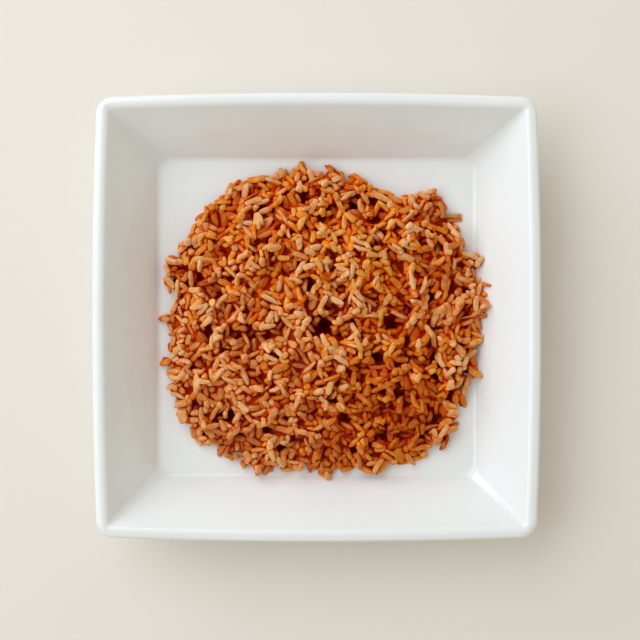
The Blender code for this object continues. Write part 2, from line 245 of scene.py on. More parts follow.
# The soft rice is darker and redder than the grains and starts at a higher power: painted shade
# for the gaps that it fills
SOFT_RICE = (0.78, 0.24, 0.024, 1.0)
GRAIN_POWER_AND_GLOSS = (1.0, 0.2)  # the power that its colour starts at, and its gloss
SOFT_SHADE_AND_GLOSS = (1.1, 0.1)
RICE_SHADER = {
    "Subsurface Weight": 0.6,
    "Subsurface Radius": (1.0, 0.5, 0.2),
    "Subsurface Scale": 0.001,
    "IOR": 1.4,
}
RICE_BUMP = {"Strength": 0.35, "Distance": 0.00025}
# How values of the surface change its look, each as a range and what it is carried over to.
# The soaks and powers add up to the power that the unshaded colour is raised to; those driven by
# shelter are painted shade.
SIDE_SHADE_POWER = (0.05, 0.8, 0.0, 1.38)  # painted shade by shelter, on a grain's sides between its neighbours
PIT_SHADE_POWER = (0.8, DEEPEST, 0.0, 2.6)  # and painted shade in the pits
CLOUD_SOAK = (0.3, 0.7, -0.4, 0.55)
# by tone, which carries painted light on the clumps and painted shade on deep grains, as well as
# random differences
TONE_POWER = (-0.9, 1.3, 0.75, -0.25)
LEAST_POWER = 0.8
TONE_SHADE = (-0.9, 0.65, 0.68, 0.985)
FLECK_SHADE = (0.3, 0.7, 0.95, 1.05)
OPEN_SHADE = (0.0, 0.3, 0.775, 0.97)  # painted shade by shelter: darker in the open and lighter where half sheltered, to even out the light on the grains
PIT_SHADE = (0.35, 1.7, 1.0, 0.7)  # and painted shade that darkens the pits
RICE_ROUGHNESS = (0.0, DEEPEST, 0.5, 0.3)
# Fine noises: count for a metre, detail and roughness
STREAKS = (900.0, 3.0, 0.6)
CLOUDS = (330.0, 2.0, 0.5)
GLAZE_WAVES = (18.0, 2.0, 0.5)
GLAZE_GRAIN = (420.0, 2.0, 0.5)

# The glaze
GLAZE_COLOURS = ((0.8632, 0.8879, 0.8632, 1.0), (0.8388, 0.8632, 0.8388, 1.0))
GLAZE_SHARE = (0.35, 0.65, 0.0, 1.0)
GLAZE_ROUGHNESS = (0.3, 0.7, 0.05, 0.09)
GLAZE_BUMP = {"Strength": 0.25, "Distance": 0.0006}
GLAZE_IOR = 1.5

# Table, camera and light, in metres, with the camera's lens and sensor in millimetres
TABLE_SIDE = 4.0
TABLE_COLOUR = (0.83, 0.785, 0.70, 1.0)
TABLE_ROUGHNESS = 0.7
CAMERA_PLACE = (0.00166, -0.0014, 0.7487)
CAMERA_LENS = 78.8
CAMERA_SENSOR = 36.0
CAMERA_NEAREST = 0.01
WORLD_COLOUR = (1.0, 0.96, 0.86, 1.0)
WORLD_STRENGTH = 0.56
LIGHT_COLOUR = (0.93, 1.0, 1.15)
# Azimuth and height in degrees, distance, width and height of the window, and its power
LIGHTS = {
    "window": (151.0, 50.0, 2.5, 4.0, 1.6, 38.5),
    "low_window": (136.0, 19.0, 1.4, 1.1, 0.36, 4.6),
}


# ---------------------------------------------------------------- modelling


def select_only(piece):
    """Deselects everything and makes one piece active and selected."""
    bpy.ops.object.select_all(action="DESELECT")
    piece.select_set(True)
    bpy.context.view_layer.objects.active = piece


def put_selected(mesh, ring):
    """Moves the selected face's points, in their order, to a ring of places."""
    face = next(p for p in mesh.polygons if p.select)
    for number, place in zip(face.vertices, ring):
        mesh.vertices[number].co = Vector(place) * MM


def loft(name, rings):
    """A closed piece: a filled circle laid on the first ring and extruded from ring to ring."""
    bpy.ops.object.select_all(action="DESELECT")
    bpy.ops.mesh.primitive_circle_add(vertices=len(rings[0]), radius=MM, fill_type="NGON")
    piece = bpy.context.object
    piece.name = piece.data.name = name
    put_selected(piece.data, rings[0])
    for ring in rings[1:]:
        bpy.ops.object.mode_set(mode="EDIT")
        bpy.ops.mesh.extrude_region_move()
        bpy.ops.object.mode_set(mode="OBJECT")
        put_selected(piece.data, ring)
    bpy.ops.object.mode_set(mode="EDIT")
    bpy.ops.mesh.select_all(action="SELECT")
    bpy.ops.mesh.normals_make_consistent(inside=False)
    bpy.ops.object.mode_set(mode="OBJECT")
    return piece


def smooth(piece, degrees):
    """Shades as one the faces that meet at less than an angle."""
    select_only(piece)
    bpy.ops.object.shade_smooth_by_angle(angle=math.radians(degrees))


def cover(piece, material):
    """Gives a piece one material."""
    piece.data.materials.clear()
    piece.data.materials.append(material)


def mesh_points(mesh):
    """A mesh's points in millimetres, one to a row."""
    points = np.empty(len(mesh.vertices) * 3)
    mesh.vertices.foreach_get("co", points)
    return points.reshape(-1, 3) / MM


def put_attributes(mesh, **values):
    """Stores named values at a mesh's points."""
    for name, value in values.items():
        mesh.attributes.new(name, "FLOAT", "POINT").data.foreach_set("value", value)


# ---------------------------------------------------------------- the dish


def wall_slope():
    """Angle of the inside of the dish's wall, from level."""
    run = (RIM_SIDE - FLOOR_SIDE) / 2 - LIP_WIDTH
    return math.atan2(RIM_HEIGHT - FLOOR_TOP, run)


def dish_corners():
    """The dish's section, from the floor up the inside, over the lip and down to the foot.
    Each corner is (half side, height, fillet, radius seen from above, bow of the sides)."""
    half_rim = RIM_SIDE / 2
    lip = half_rim + LIP_ROUND * (1 / math.tan(OUTER_SLOPE / 2) - 1)
    base = lip - (RIM_HEIGHT - UNDERSIDE) / math.tan(OUTER_SLOPE)
    return [
        (FLOOR_SIDE / 2, FLOOR_TOP, FLOOR_FILLET, FLOOR_CORNER, 0.0),
        (half_rim - LIP_WIDTH, RIM_HEIGHT, LIP_INNER_ROUND, LIP_INNER_CORNER, RIM_BOW),
        (half_rim - LIP_CROWN, RIM_HEIGHT, LIP_CROWN_ROUND, LIP_CORNER - LIP_CROWN, RIM_BOW),
        (lip - LIP_FALL, RIM_HEIGHT - LIP_FALL, LIP_ROUND, LIP_CORNER, RIM_BOW),
        (base, UNDERSIDE, BASE_FILLET, BASE_CORNER, BASE_BOW),
        (FOOT_OUTER, UNDERSIDE, FOOT_ROUND, FOOT_CORNER, 0.0),
        (FOOT_OUTER - FOOT_TAPER, 0.0, FOOT_ROUND, FOOT_CORNER, 0.0),
        (FOOT_INNER + FOOT_TAPER, 0.0, FOOT_ROUND, FOOT_INNER_CORNER, 0.0),
        (FOOT_INNER, UNDERSIDE, FOOT_ROUND, FOOT_INNER_CORNER, 0.0),
    ]


def fillet_arc(before, corner, after, radius):
    """Points of the arc that rounds the corner of a section between two straight runs."""
    towards, away = (before - corner).normalized(), (after - corner).normalized()
    half_angle = towards.angle(away) / 2
    steps = max(2, round((math.pi - 2 * half_angle) / ARC_STEP))
    centre = corner + (towards + away).normalized() * radius / math.sin(half_angle)
    reach = radius / math.tan(half_angle)
    start, end = corner + towards * reach - centre, corner + away * reach - centre
    return [centre + start.slerp(end, i / steps) * radius for i in range(steps + 1)]


def with_run_ends(section):
    """Adds a point near each end of a long straight run of the section, so that shading
    turns only at the fillets."""
    full = [section[0]]
    for last, point in zip(section, section[1:]):
        run = math.dist(last[:2], point[:2])
        if run > LONG_RUN:
            for t in (RUN_END / run, 1 - RUN_END / run):
                full.append(tuple(a + (b - a) * t for a, b in zip(last, point)))
        full.append(point)
    return full


def dish_section():
    """The section with its corners rounded, from inside the floor to inside the foot.
    Each point is (half side, height, radius seen from above, bow of the sides)."""
    corners = dish_corners()
    points = [Vector((half, height)) for half, height, *_ in corners]
    inner_floor = FLOOR_SIDE / 2 - 2 * FLOOR_FILLET
    inner_foot = FOOT_INNER - 2 * FLOOR_CORNER
    points = [Vector((inner_floor, FLOOR_TOP)), *points, Vector((inner_foot, UNDERSIDE))]
    section = [(inner_floor, FLOOR_TOP, FLOOR_CORNER, 0.0)]
    for i, (_, _, fillet, plan_radius, bow) in enumerate(corners, start=1):
        rounded = fillet_arc(points[i - 1], points[i], points[i + 1], fillet)
        section += [(p.x, p.y, plan_radius, bow) for p in rounded]
    section.append((inner_foot, UNDERSIDE, FOOT_INNER_CORNER, 0.0))
    return with_run_ends(section)


def bowed_square(half, height, radius, bow):
    """A square with round corners and slightly bulging sides, at a height."""
    middle = half - bow - radius  # of a corner's arc
    quarter = []
    for i in range(CORNER_STEPS):
        angle = math.pi / 2 * i / CORNER_STEPS
        quarter.append((middle + radius * math.cos(angle), middle + radius * math.sin(angle)))
    for i in range(SIDE_STEPS):
        along = 1 - 2 * i / SIDE_STEPS
        quarter.append((middle * along, half - bow * along**2))
    turns = ((1, 0), (0, 1), (-1, 0), (0, -1))
    return [(x * c - y * s, x * s + y * c, height) for c, s in turns for x, y in quarter]


def make_dish():
    """The dish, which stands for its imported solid."""
    rings = [bowed_square(*point) for point in dish_section()]
    dish = loft("porcelain_dish", rings)
    smooth(dish, DISH_SMOOTH)
    cover(dish, porcelain_material())
    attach(dish, BODY)
    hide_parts("square_dish")


def dish_height(x, y):
    """Height of the dish's inside on arrays of places."""
    slope = wall_slope()
    out = np.maximum(np.abs(x), np.abs(y)) - FLOOR_SIDE / 2
    reach = FLOOR_FILLET * math.tan(slope / 2)
    over = np.clip(out + reach, 0.0, FLOOR_FILLET * math.sin(slope))
    bend = FLOOR_TOP + FLOOR_FILLET - np.sqrt(FLOOR_FILLET**2 - over**2)
    wall = FLOOR_TOP + out * math.tan(slope)
    return np.where(out > reach * math.cos(slope), wall, bend)


# ---------------------------------------------------------------- values on the grid


def grid_cells(x, y):
    """The rows and columns of the cells that hold some places."""
    last = round(2 * REACH / CELL)
    i = np.clip(np.rint((x + REACH) / CELL).astype(int), 0, last)
    j = np.clip(np.rint((y + REACH) / CELL).astype(int), 0, last)
    return i, j


def blurred(values, radius):
    """Values on the grid, smoothed with a bell of that radius."""
    half = round(2 * radius / CELL)
    steps = np.arange(-half, half + 1) * CELL
    bell = np.exp(-((steps / radius) ** 2) * 2)
    bell /= bell.sum()
    for axis in (0, 1):
        values = np.apply_along_axis(np.convolve, axis, values, bell, mode="same")
    return values


def spread(values, radius):
    """Each cell's highest value within a radius."""
    cells = round(radius / CELL)
    highest = values.copy()
    for i in range(-cells, cells + 1):
        for j in range(-cells, cells + 1):
            if math.hypot(i, j) <= radius / CELL:
                np.maximum(highest, np.roll(values, (i, j), (0, 1)), out=highest)
    return highest


def field(rng, shape, width):
    """Smooth random values of that width, with a mean of 0 and a spread of 1."""
    noise = blurred(rng.standard_normal(shape), width)
    return noise / noise.std()


def hills(rows, x, y):
    """What some round hills add up to at arrays of places. Each is x, y, radius and height."""
    total = 0.0
    for middle_x, middle_y, radius, height in rows:
        away = np.hypot(x - middle_x, y - middle_y) / radius
        total = total + height * np.exp(-(away**2))
    return total


def farthest(wanted, angles, limits=REACH):
    """How far out the last wanted cell under the limit lies in each direction."""
    steps = np.arange(0.0, REACH, CELL / 2)[:, None]
    cells = grid_cells(steps * np.cos(angles), steps * np.sin(angles))
    return np.where(wanted[cells] & (steps < limits), steps, 0.0).max(axis=0)


# ---------------------------------------------------------------- the heap's form


def heap_form(node, places):
    """Two grids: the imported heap's top without its bumps, and where the heap is."""
    mesh = node.data
    corners = [v.co / MM for v in mesh.vertices]
    tree = BVHTree.FromPolygons(corners, [p.vertices for p in mesh.polygons])
    down, above = Vector((0, 0, -1)), RIM_HEIGHT * 2
    tops = np.zeros((len(places), len(places)))
    for i, x in enumerate(places):
        for j, y in enumerate(places):
            hit = tree.ray_cast(Vector((x, y, above)), down)[0]
            if hit is not None:
                tops[i, j] = hit.z
    there = tops > 0
    share = blurred(there.astype(float), BLUR)
    return blurred(tops, BLUR) / np.maximum(share, LEAST_SHARE), there


def unevenness(rng, shape):
    """Random rises and hollows of a few grains' width, and the deeper pits between clumps."""
    pits = np.clip(field(rng, shape, PIT_WIDTH) - PIT_RARENESS, 0.0, PIT_FULL)
    return sum(field(rng, shape, width) * height for width, height in CLUMPS) - PIT_DEPTH * pits


def heap_outline(there, ragged):
    """The core's directions, and how far the heap reaches from the dish's middle in each."""
    angles = 2 * np.pi * np.arange(CORE_POINTS) / CORE_POINTS
    reaches = farthest(there, angles)
    for direction, half_width, reach in SPURS:
        turn = (angles - math.radians(direction) + np.pi) % (2 * np.pi) - np.pi
        reaches += reach * np.exp(-((turn * reaches / half_width) ** 2))
    reaches += RAGGED[1] * ragged[grid_cells(reaches * np.cos(angles), reaches * np.sin(angles))]
    return angles, reaches


def inside_outline(x, y, angles, reaches):
    """How far inside the heap's outline places lie, less than 0 outside it."""
    edge = np.interp(np.arctan2(y, x) % (2 * np.pi), angles, reaches, period=2 * np.pi)
    return edge - np.hypot(x, y)


def uneven_heap(rng, node, places):
    """The heap's form with its unevenness, how clumped its top is and how far inside its edge
    each cell lies, as grids, and its outline."""
    x, y = places[:, None], places[None, :]
    form, there = heap_form(node, places)
    uneven = unevenness(rng, form.shape)
    clumps = field(rng, form.shape, CLUMP_WIDTH)
    ragged = field(rng, form.shape, RAGGED[0])
    outline = heap_outline(there, ragged)
    inside = inside_outline(x, y, *outline)
    kept = np.clip(inside / EDGE_BAND, EDGE_UNEVENNESS, 1.0)
    form = form + uneven * kept - hills(HOLLOWS, x, y)
    return form, np.maximum(clumps, clumps * kept), inside, outline


def shafts(places):
    """Where the middles of the deep hollows are."""
    open_cells = np.zeros((len(places), len(places)), bool)
    for x, y, radius, _ in HOLLOWS:
        away = np.hypot(places[:, None] - x, places[None, :] - y)
        open_cells |= away < radius * SHAFT
    return open_cells


# ---------------------------------------------------------------- laying the grains


def girth(along):
    """A grain's half width along its length, as a share of its greatest."""
    return np.sqrt(1 - np.abs(along) ** LAID_BLUNTNESS)


def grain_sizes(rng):
    """Length, width and thickness of one grain."""
    kind = rng.random()
    if kind < LUMP_SHARE:
        return tuple(rng.uniform(*least_most) for least_most in LUMP_SIZES)
    if kind < LUMP_SHARE + BROKEN_SHARE:
        length = rng.uniform(*BROKEN_LENGTH)
    else:
        length = np.clip(rng.normal(*LENGTH), *LENGTH_RANGE)
    return length, rng.normal(*WIDTH), rng.normal(*THICKNESS)


class Ground:
    """Heights of all that lies in the dish so far, on the grid."""

    def __init__(self, places, heights):
        self.places = places
        self.heights = heights

    def rest(self, x, y, azimuth, sizes):
        """Height of the middle and slope of a grain at rest, for each of some places, and the
        cells that it touches. It leans on the two spots, one on each side of its middle, that
        hold it highest."""
        length, width, thickness = sizes
        u, v = np.cos(azimuth)[:, None, None], np.sin(azimuth)[:, None, None]
        along = (STATIONS * length / 2)[None, :, None]
        across = (girth(STATIONS)[:, None] * ACROSS * width / 2)[None]
        i, j = grid_cells(
            x[:, None, None] + u * along - v * across,
            y[:, None, None] + v * along + u * across,
        )
        belly = girth(STATIONS)[:, None] * np.sqrt(1 - ACROSS**2) * thickness / 2
        least = (self.heights[i, j] + belly).max(axis=2)
        middle = len(STATIONS) // 2
        back, front = STATIONS[:middle, None], STATIONS[None, middle + 1 :]
        low, high = least[:, :middle, None], least[:, None, middle + 1 :]
        height = (low * front - high * back) / (front - back)
        slope = (high - low) / ((front - back) * length / 2)
        pairs = height.reshape(len(x), -1)
        held = pairs.argmax(axis=1)
        rows = np.arange(len(x))
        lifted = np.maximum(pairs[rows, held], least[:, middle])
        return lifted, slope.reshape(len(x), -1)[rows, held], (i, j)

    def cover(self, x, y, height, azimuth, slope, sizes):
        """Raises the ground to the top of a grain that has come to rest."""
        length, width, thickness = sizes
        span = length / 2 + CELL
        i0, j0 = grid_cells(x - span, y - span)
        i1, j1 = grid_cells(x + span, y + span)
        patch = self.heights[i0 : i1 + 1, j0 : j1 + 1]
        dx = self.places[i0 : i1 + 1, None] - x
        dy = self.places[None, j0 : j1 + 1] - y
        along = (dx * math.cos(azimuth) + dy * math.sin(azimuth)) * 2 / length
        across = (dy * math.cos(azimuth) - dx * math.sin(azimuth)) * 2 / width
        inside = girth(np.clip(along, -1, 1)) ** 2 - across**2
        bulge = np.sqrt(np.maximum(inside, 0)) * thickness / 2
        top = height + slope * along * length / 2 + bulge
        np.maximum(patch, np.where(inside > 0, top, BELOW_ALL), out=patch)


def standing_over(height, slope, length, aims):
    """How far a grain's middle line stands over the layer's aim, for each of some places."""
    line = height[:, None] + slope[:, None] * STATIONS * length / 2
    over = (line[:, :, None] - aims).max(axis=2)
    return (over.mean(axis=1) + over.max(axis=1)) / 2


def lay_grain(rng, ground, cell, way, aim, inside, layer):
    """Lays a grain at the best of some places about a cell, unless all of them are bad.
    A grain is x, y, height, azimuth, slope, length, width and thickness."""
    sizes = grain_sizes(rng)
    x = ground.places[cell[0]] + rng.uniform(-JITTER, JITTER, CHOICES)
    y = ground.places[cell[1]] + rng.uniform(-JITTER, JITTER, CHOICES)
    azimuth = way + rng.normal(0, STRAY, CHOICES)
    height, slope, touched = ground.rest(x, y, azimuth, sizes)
    over = standing_over(height, slope, sizes[0], aim[touched])
    good = (inside[touched] > -OVERHANG).all(axis=(1, 2)) & (np.abs(slope) < STEEPEST)
    score = over + layer.level_liking * np.abs(slope)
    score = np.where(good & (over < layer.proud), score, np.inf)
    best = score.argmin()
    if np.isinf(score[best]):
        return None
    sunk = height[best] - max(rng.normal(layer.sink, layer.sink_spread), 0.0)
    leaning = slope[best] + rng.normal(0, layer.lean_spread)
    place = (x[best], y[best], sunk, azimuth[best], leaning)
    ground.cover(*place, sizes)
    return (*place, *sizes)


def lay_layer(rng, ground, form, clumps, inside, layer):
    """Lays grains until the ground has come up to the layer's aim."""
    aim = np.minimum(form + layer.lift + layer.clumped * clumps, HIGHEST)
    grain_way = np.arctan2(*(field(rng, form.shape, COMBED_WIDTH) for _ in range(2)))
    grains = []
    while len(grains) < MOST_GRAINS:
        open_cells = np.argwhere((inside > EDGE) & (aim - ground.heights > layer.need))
        rng.shuffle(open_cells)
        before = len(grains)
        for i, j in open_cells[: max(ROUND_LEAST, len(open_cells) // ROUND_SHARE)]:
            if aim[i, j] - ground.heights[i, j] < layer.need:
                continue
            grain = lay_grain(rng, ground, (i, j), grain_way[i, j], aim, inside, layer)
            if grain is not None:
                grains.append(grain)
        if len(grains) == before:
            break
    return grains


def filling(heights, reach, depth, blur):
    """Heights of the soft rice that fills the gaps between grains."""
    closed = -spread(-spread(heights, reach), reach)
    return blurred(closed, blur) - depth


def settled(heights):
    """The heights, lowered where they are steeper than soft rice stands."""
    heights = heights.copy()
    for _ in range(SETTLING_STEPS):
        for way in ((0, 1), (0, -1), (1, 0), (-1, 0), (1, 1), (1, -1), (-1, 1), (-1, -1)):
            rise = CORE_SLOPE * CELL * math.hypot(*way)
            np.minimum(heights, np.roll(heights, way, (0, 1)) + rise, out=heights)
    return heights


def lay_rice(rng, places, form, clumps, inside, floor):
    """All grains, the heights of the rice they make, and those of the soft rice under them."""
    deep = inside > CORE_INSET
    bottom = np.where(deep, np.maximum(form - CORE_DEPTH, floor), floor)
    ground = Ground(places, bottom.copy())
    open_to_grains = np.where(shafts(places), -REACH, inside)
    bed = lay_layer(rng, ground, form, clumps, open_to_grains, BED)
    soft = np.maximum(filling(ground.heights, *BED_FILL), bottom)
    ground.heights = np.where(deep, np.maximum(ground.heights, soft), ground.heights)
    loose = lay_layer(rng, ground, form, clumps, open_to_grains, LOOSE)
    soft = np.maximum(filling(ground.heights, *TOP_FILL), soft)
    return np.array(bed + loose), ground.heights, np.maximum(settled(soft), floor)


# ---------------------------------------------------------------- shelter and depth


def side_shelter(mesh):
    """A grain's sides and belly count as more sheltered than its back, so that they get painted
    shade.
    """
    normals = np.empty(len(mesh.vertices) * 3)
    mesh.vertex_normals.foreach_get("vector", normals)
    return SIDE_SHELTER * (1 - normals[2::3])


def shelter(heights, points):
    """How sheltered each point is by what stands round it: 0 in the open, and 1 where only a
    third of the sky's light arrives. The more open half of the sky counts three times."""
    seen = np.empty((SKY_WAYS, len(points)))
    for way in range(SKY_WAYS):
        angle = 2 * math.pi * (way + 0.5) / SKY_WAYS
        steepest = np.zeros(len(points))
        for away in SKY_STEPS:
            x = points[:, 0] + away * math.cos(angle)
            y = points[:, 1] + away * math.sin(angle)
            rise = (heights[grid_cells(x, y)] - points[:, 2]) / away
            np.maximum(steepest, rise, out=steepest)
        seen[way] = 1 / (1 + steepest**2)
    seen.sort(axis=0)
    light = (seen.mean(axis=0) + seen[SKY_WAYS // 2 :].mean(axis=0)) / 2
    return np.minimum(-np.log(light), DEEPEST)


def grain_depths(grains, heights, floor):
    """How far the back of each grain lies under the heap's smoothed top."""
    lying = heights > floor + LYING
    tops = blurred(np.where(lying, heights, 0), TOP_BLUR)
    tops /= np.maximum(blurred(lying.astype(float), TOP_BLUR), LEAST_COVER)
    x, y, height, *_, thickness = grains.T
    return tops[grid_cells(x, y)] - height - thickness / 2


# ---------------------------------------------------------------- the grains' kinds and looks


def grain_tones(rng, grains, depths, clumps):
    """How light each grain is: random patches, painted light where the top is clumped, and
    painted shade, darker and redder, where it lies lower.
    """
    x, y = grains[:, 0], grains[:, 1]
    cells = grid_cells(x, y)
    width, height = TONE_PATCHES
    tones = TONE + height * field(rng, clumps.shape, width)[cells] + CLUMP_PAINTED_LIGHT * clumps[cells]
    tones -= DEEPER_PAINTED_SHADE * np.clip(depths, 0.0, DEEPER_MOST)
    return tones + hills(TONES, x, y)


def kind_shares(x, y):
    """The shares of pale, peach and orange grains at arrays of places."""
    rosy = hills(ROSY, x, y)
    corner_x, corner_y = PALE_CORNER
    pale = np.where(np.hypot(x - corner_x, y - corner_y) < PALE_REACH, *PALE_SHARES)
    peach = np.clip(PEACH_SHARE + rosy, *PEACH_RANGE)
    orange = np.clip(ORANGE_SHARE + ORANGE_RISE * (x + y) - ORANGE_LOSS * rosy, *ORANGE_RANGE)
    return pale, peach, orange


def grain_kinds(rng, grains, depths, patches, clumps):
    """A kind for each grain, by how deep it lies, where in the dish, and what lies by it; the
    deep red kind on deep grains and the paler kinds on raised clumps are painted shade and light.
    """
    chance = rng.standard_normal(len(grains))
    given = (patches, clumps, chance, depths)
    draws = sum(weight * values for weight, values in zip(KIND_WEIGHTS, given))
    draws = draws.argsort().argsort() / len(grains)
    shares = kind_shares(grains[:, 0], grains[:, 1])
    some_russet, all_russet = SHADED_RUSSET_DEPTHS
    kinds = []
    for depth, draw, pale, peach, orange in zip(depths, draws, *shares):
        # painted shade: the grains that lie deepest take the deep red kind
        if depth > all_russet or (depth > some_russet and rng.random() < SHADED_RUSSET_SHARE):
            kinds.append("shaded_russet")
        elif rng.random() < pale:
            kinds.append("pale")
        elif draw < peach:
            kinds.append("peach")
        elif draw > 1 - orange:
            kinds.append("orange")
        else:
            kinds.append("amber")
    return np.array(kinds)


def grain_look(rng, tone):
    """Which model a grain is shaped by, and how it differs from it."""
    return Look(
        model=rng.integers(MODEL_COUNT),
        roll=rng.uniform(-ROLL, ROLL),
        flip=rng.choice((-1, 1)),
        bend=rng.normal(*BEND),
        arch=rng.normal(*BEND) / 2,
        tone=tone + rng.uniform(-TONE_STRAY, TONE_STRAY),
    )


# ---------------------------------------------------------------- shaping the grains


def model_grain(rng, number):
    """Points and faces of one model grain, whose half sizes are all about 1."""
    taper = rng.uniform(-TAPER, TAPER)
    bluntness, flat_end = rng.uniform(*BLUNTNESS), rng.uniform(*FLAT_END)
    squareness = rng.uniform(*SQUARENESS)
    corners = 2 * np.pi * (np.arange(SECTION_CORNERS) + 0.5) / SECTION_CORNERS
    corners += rng.uniform(-SKEW, SKEW, SECTION_CORNERS)
    bevel = rng.uniform(*BEVEL)
    angles = (corners[:, None] + (-bevel, bevel)).ravel()
    c, s = np.cos(angles), np.sin(angles)
    reach = (np.abs(c) ** squareness + np.abs(s) ** squareness) ** (-1 / squareness)
    rings = []
    for x in GRAIN_STATIONS:
        wide = (flat_end + (1 - flat_end) * (1 - abs(x) ** bluntness)) * (1 + taper * x)
        wide = wide * reach * (1 + rng.uniform(-LUMPS, LUMPS, len(angles)))
        sway = rng.uniform(-LUMPS, LUMPS, 2)
        rings.append([(x, y, z) for y, z in zip(wide * c + sway[0], wide * s + sway[1])])
    grain = loft("model_grain_%d" % number, rings)
    mesh = grain.data
    points, faces = mesh_points(mesh), [tuple(polygon.vertices) for polygon in mesh.polygons]
    bpy.data.objects.remove(grain)
    bpy.data.meshes.remove(mesh)
    return points, faces


def turned(first, second, angle):
    """Two coordinates turned together."""
    c, s = math.cos(angle), math.sin(angle)
    return first * c - second * s, first * s + second * c


def placed(points, grain, look):
    """A model grain's points, at one grain's size and place."""
    x, y, height, azimuth, slope, length, width, thickness = grain
    ahead = points[:, 0] * look.flip * length / 2
    bulge = 0.5 - points[:, 0] ** 2
    across, up = turned(points[:, 1] * width / 2, points[:, 2] * thickness / 2, look.roll)
    across, up = across + bulge * look.bend * length, up + bulge * look.arch * length
    ahead, up = turned(ahead, up, math.atan(slope))
    ahead, across = turned(ahead, across, azimuth)
    return np.stack([x + ahead, y + across, height + up], 1)


def joined(laid, models):
    """The points, faces and tones of some grains, each a grain and its look."""
    points, faces, tones = [], [], []
    start = 0
    for grain, look in laid:
        shape, polygons = models[look.model]
        points.append(placed(shape, grain, look))
        faces += [tuple(start + v for v in polygon[:: look.flip]) for polygon in polygons]
        tones.append(np.full(len(shape), look.tone))
        start += len(shape)
    return np.concatenate(points), faces, np.concatenate(tones)


def make_grains(name, laid, models, heights):
    """One piece that joins some grains, with their tone and shelter as attributes."""
    points, faces, tones = joined(laid, models)
    mesh = bpy.data.meshes.new(name)
    mesh.from_pydata((points * MM).tolist(), [], faces)
    put_attributes(mesh, tone=tones, shelter=shelter(heights, points) + side_shelter(mesh))
    piece = bpy.data.objects.new(name, mesh)
    bpy.context.collection.objects.link(piece)
    smooth(piece, GRAIN_SMOOTH)
    return piece


# ---------------------------------------------------------------- the core


def make_core(soft, heights, floor, angles, reaches):
    """The closed body of soft rice under the loose grains, with bumps of their size, as far
    out as it is thick enough."""
    rim = farthest(soft - floor > CORE_RIM, angles, reaches - CORE_EDGE)
    rings = []
    for i in range(CORE_RINGS + 1):
        share = 1 - i / (CORE_RINGS + 1)
        x = rim * share * np.cos(angles)
        y = rim * share * np.sin(angles)
        cells = grid_cells(x, y)
        z = floor[cells] + CORE_LIFT if i == 0 else soft[cells]
        rings.append(np.stack([x, y, z], 1))
    core = loft("rice_core", rings)
    smooth(core, CORE_SMOOTH)
    points = mesh_points(core.data)
    put_attributes(core.data, tone=np.full(len(points), TONE), shelter=shelter(heights, points))
    return core


# ---------------------------------------------------------------- materials


def add_node(tree, kind, inputs=None, **settings):
    """A node with its settings, and each input either a value or a link from a socket."""
    node = tree.nodes.new(kind)
    for key, value in settings.items():
        setattr(node, key, value)
    for key, value in (inputs or {}).items():
        if isinstance(value, bpy.types.NodeSocket):
            tree.links.new(value, node.inputs[key])
        else:
            node.inputs[key].default_value = value
    return node


def mixed(tree, factor, first, second, blend="MIX"):
    """A mix of two colours, whose sockets on the node are found by number."""
    inputs = {0: factor, 6: first, 7: second}
    return add_node(tree, "ShaderNodeMix", inputs, data_type="RGBA", blend_type=blend).outputs[2]


def scaled(tree, value, from_low, from_high, to_low, to_high):
    """A value carried over from one range to another, held within it."""
    keys = ("Value", "From Min", "From Max", "To Min", "To Max")
    inputs = dict(zip(keys, (value, from_low, from_high, to_low, to_high)))
    return add_node(tree, "ShaderNodeMapRange", inputs).outputs[0]


def noise(tree, scale, detail, roughness):
    """Fine cloudy noise on the object's own coordinates."""
    place = add_node(tree, "ShaderNodeTexCoord").outputs["Object"]
    inputs = {"Vector": place, "Scale": scale, "Detail": detail, "Roughness": roughness}
    return add_node(tree, "ShaderNodeTexNoise", inputs).outputs["Fac"]


def combined(tree, operation, *values):
    """Some values brought together by one kind of arithmetic."""
    total = values[0]
    for value in values[1:]:
        inputs = {0: total, 1: value}
        total = add_node(tree, "ShaderNodeMath", inputs, operation=operation).outputs[0]
    return total


def attribute(tree, name):
    """A value stored at the mesh's points."""
    return add_node(tree, "ShaderNodeAttribute", attribute_name=name).outputs["Fac"]


def new_material(name):
    """A material, its nodes and its shader."""
    material = bpy.data.materials.new(name)
    material.use_nodes = True
    tree = material.node_tree
    return material, tree, tree.nodes["Principled BSDF"]


def wire(tree, shader, colour, roughness, bump):
    """Gives a shader its colour and roughness, and the relief of a Bump node."""
    normal = add_node(tree, "ShaderNodeBump", bump).outputs["Normal"]
    for key, socket in (("Base Color", colour), ("Roughness", roughness), ("Normal", normal)):
        tree.links.new(socket, shader.inputs[key])


def new_group(name, taken, given_out):
    """A node group with named sockets of some kinds, what it takes in and what it gives out."""
    group = bpy.data.node_groups.new(name, "ShaderNodeTree")
    for way, sockets in (("INPUT", taken), ("OUTPUT", given_out)):
        for socket, kind in sockets.items():
            group.interface.new_socket(socket, in_out=way, socket_type="NodeSocket" + kind)
    start, end = group.nodes.new("NodeGroupInput"), group.nodes.new("NodeGroupOutput")
    return group, start.outputs, end.inputs


